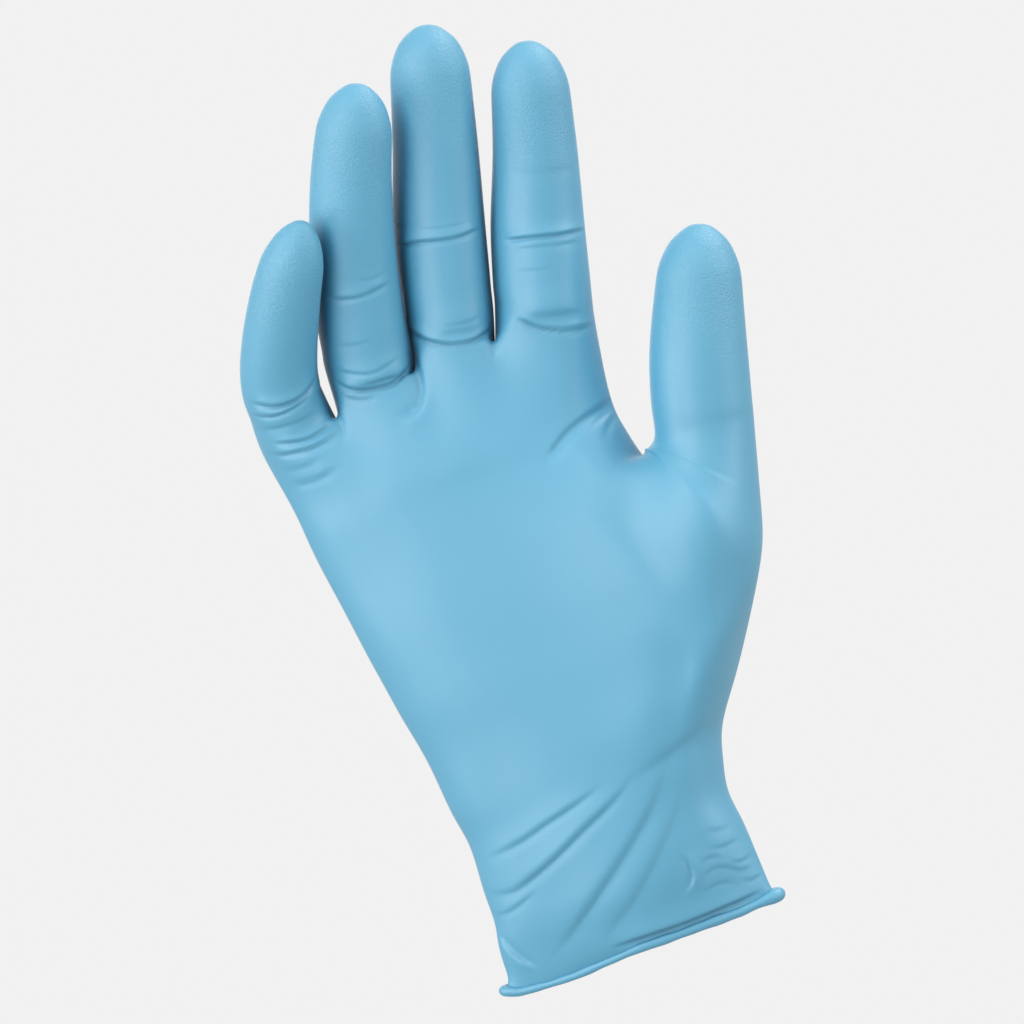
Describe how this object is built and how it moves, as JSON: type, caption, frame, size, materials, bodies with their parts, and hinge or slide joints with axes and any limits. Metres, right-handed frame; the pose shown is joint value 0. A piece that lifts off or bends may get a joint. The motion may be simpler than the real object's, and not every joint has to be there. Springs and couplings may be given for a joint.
{
  "type": "nitrile glove",
  "caption": "Disposable film glove in the shape of a relaxed right hand, hollow, with a beaded cuff and finger stalls that flex.",
  "frame": {"origin": "the middle of the cuff's mouth, at the level of the film's edge", "axes": "+Z from the cuff's mouth to the fingertips, -Y to the palm side, +X to the thumb"},
  "size_m": [0.1309, 0.0476, 0.24],
  "materials": {
    "nitrile_film": "satin light blue nitrile film",
    "nitrile_rim": "satin light blue nitrile bead"
  },
  "bodies": {
    "hand": {"palm_front": "nitrile_film", "back_of_hand": "nitrile_film", "cuff": "nitrile_film", "cuff_rim": "nitrile_rim", "thumb_mount": "nitrile_film", "little_root_crease": "nitrile_film", "ring_root_crease": "nitrile_film", "middle_root_crease": "nitrile_film", "index_root_crease": "nitrile_film", "thumb_root_crease": "nitrile_film"},
    "little_base": {"little_base": "nitrile_film", "little_middle_crease": "nitrile_film"},
    "little_middle": {"little_middle": "nitrile_film", "little_tip_crease": "nitrile_film"},
    "little_tip": {"little_tip": "nitrile_film"},
    "ring_base": {"ring_base": "nitrile_film", "ring_middle_crease": "nitrile_film"},
    "ring_middle": {"ring_middle": "nitrile_film", "ring_tip_crease": "nitrile_film"},
    "ring_tip": {"ring_tip": "nitrile_film"},
    "middle_base": {"middle_base": "nitrile_film", "middle_middle_crease": "nitrile_film"},
    "middle_middle": {"middle_middle": "nitrile_film", "middle_tip_crease": "nitrile_film"},
    "middle_tip": {"middle_tip": "nitrile_film"},
    "index_base": {"index_base": "nitrile_film", "index_middle_crease": "nitrile_film"},
    "index_middle": {"index_middle": "nitrile_film", "index_tip_crease": "nitrile_film"},
    "index_tip": {"index_tip": "nitrile_film"},
    "thumb_base": {"thumb_base": "nitrile_film", "thumb_tip_crease": "nitrile_film"},
    "thumb_tip": {"thumb_tip": "nitrile_film"}
  },
  "joints": [
    {"name": "little_root_flex", "type": "hinge", "parent": "hand", "child": "little_base", "pos_m": [-0.03967, -0.00485, 0.15137], "axis": [0.9703, 0, -0.2419], "range_deg": [0, 45], "stiffness_Nm_per_rad": 0.02, "deforming": ["little_root_crease"]},
    {"name": "little_middle_flex", "type": "hinge", "parent": "little_base", "child": "little_middle", "pos_m": [-0.04141, -0.01165, 0.16287], "axis": [0.9703, 0, -0.2419], "range_deg": [0, 65], "stiffness_Nm_per_rad": 0.02, "deforming": ["little_middle_crease"]},
    {"name": "little_tip_flex", "type": "hinge", "parent": "little_middle", "child": "little_tip", "pos_m": [-0.03582, -0.02008, 0.18194], "axis": [0.9703, 0, -0.2419], "range_deg": [0, 40], "stiffness_Nm_per_rad": 0.02, "deforming": ["little_tip_crease"]},
    {"name": "ring_root_flex", "type": "hinge", "parent": "hand", "child": "ring_base", "pos_m": [-0.01709, -0.00498, 0.15712], "axis": [0.9703, 0, -0.2419], "range_deg": [0, 55], "stiffness_Nm_per_rad": 0.02, "deforming": ["ring_root_crease"]},
    {"name": "ring_middle_flex", "type": "hinge", "parent": "ring_base", "child": "ring_middle", "pos_m": [-0.01439, -0.01081, 0.17755], "axis": [0.9703, 0, -0.2419], "range_deg": [0, 80], "stiffness_Nm_per_rad": 0.02, "deforming": ["ring_middle_crease"]},
    {"name": "ring_tip_flex", "type": "hinge", "parent": "ring_middle", "child": "ring_tip", "pos_m": [-0.00781, -0.01672, 0.20284], "axis": [0.9703, 0, -0.2419], "range_deg": [0, 50], "stiffness_Nm_per_rad": 0.02, "deforming": ["ring_tip_crease"]},
    {"name": "middle_root_flex", "type": "hinge", "parent": "hand", "child": "middle_base", "pos_m": [0.00512, -0.00457, 0.16104], "axis": [0.9703, 0, -0.2419], "range_deg": [-10, 60], "stiffness_Nm_per_rad": 0.02, "deforming": ["middle_root_crease"]},
    {"name": "middle_middle_flex", "type": "hinge", "parent": "middle_base", "child": "middle_middle", "pos_m": [0.01006, -0.00817, 0.18491], "axis": [0.9703, 0, -0.2419], "range_deg": [0, 80], "stiffness_Nm_per_rad": 0.02, "deforming": ["middle_middle_crease"]},
    {"name": "middle_tip_flex", "type": "hinge", "parent": "middle_middle", "child": "middle_tip", "pos_m": [0.01678, -0.01198, 0.20854], "axis": [0.9703, 0, -0.2419], "range_deg": [0, 50], "stiffness_Nm_per_rad": 0.02, "deforming": ["middle_tip_crease"]},
    {"name": "index_root_flex", "type": "hinge", "parent": "hand", "child": "index_base", "pos_m": [0.02762, -0.0048, 0.1579], "axis": [0.9703, 0, -0.2419], "range_deg": [-10, 60], "stiffness_Nm_per_rad": 0.02, "deforming": ["index_root_crease"]},
    {"name": "index_middle_flex", "type": "hinge", "parent": "index_base", "child": "index_middle", "pos_m": [0.03384, -0.00743, 0.17727], "axis": [0.9703, 0, -0.2419], "range_deg": [0, 80], "stiffness_Nm_per_rad": 0.02, "deforming": ["index_middle_crease"]},
    {"name": "index_tip_flex", "type": "hinge", "parent": "index_middle", "child": "index_tip", "pos_m": [0.0404, -0.01002, 0.19911], "axis": [0.9703, 0, -0.2419], "range_deg": [0, 50], "stiffness_Nm_per_rad": 0.02, "deforming": ["index_tip_crease"]},
    {"name": "thumb_root_flex", "type": "hinge", "parent": "hand", "child": "thumb_base", "pos_m": [0.05733, -0.01239, 0.11588], "axis": [0.8569, -0.4226, -0.2951], "range_deg": [-10, 40], "stiffness_Nm_per_rad": 0.02, "deforming": ["thumb_root_crease"]},
    {"name": "thumb_tip_flex", "type": "hinge", "parent": "thumb_base", "child": "thumb_tip", "pos_m": [0.06346, -0.01443, 0.13753], "axis": [0.8569, -0.4226, -0.2951], "range_deg": [0, 50], "stiffness_Nm_per_rad": 0.02, "deforming": ["thumb_tip_crease"]}
  ]
}
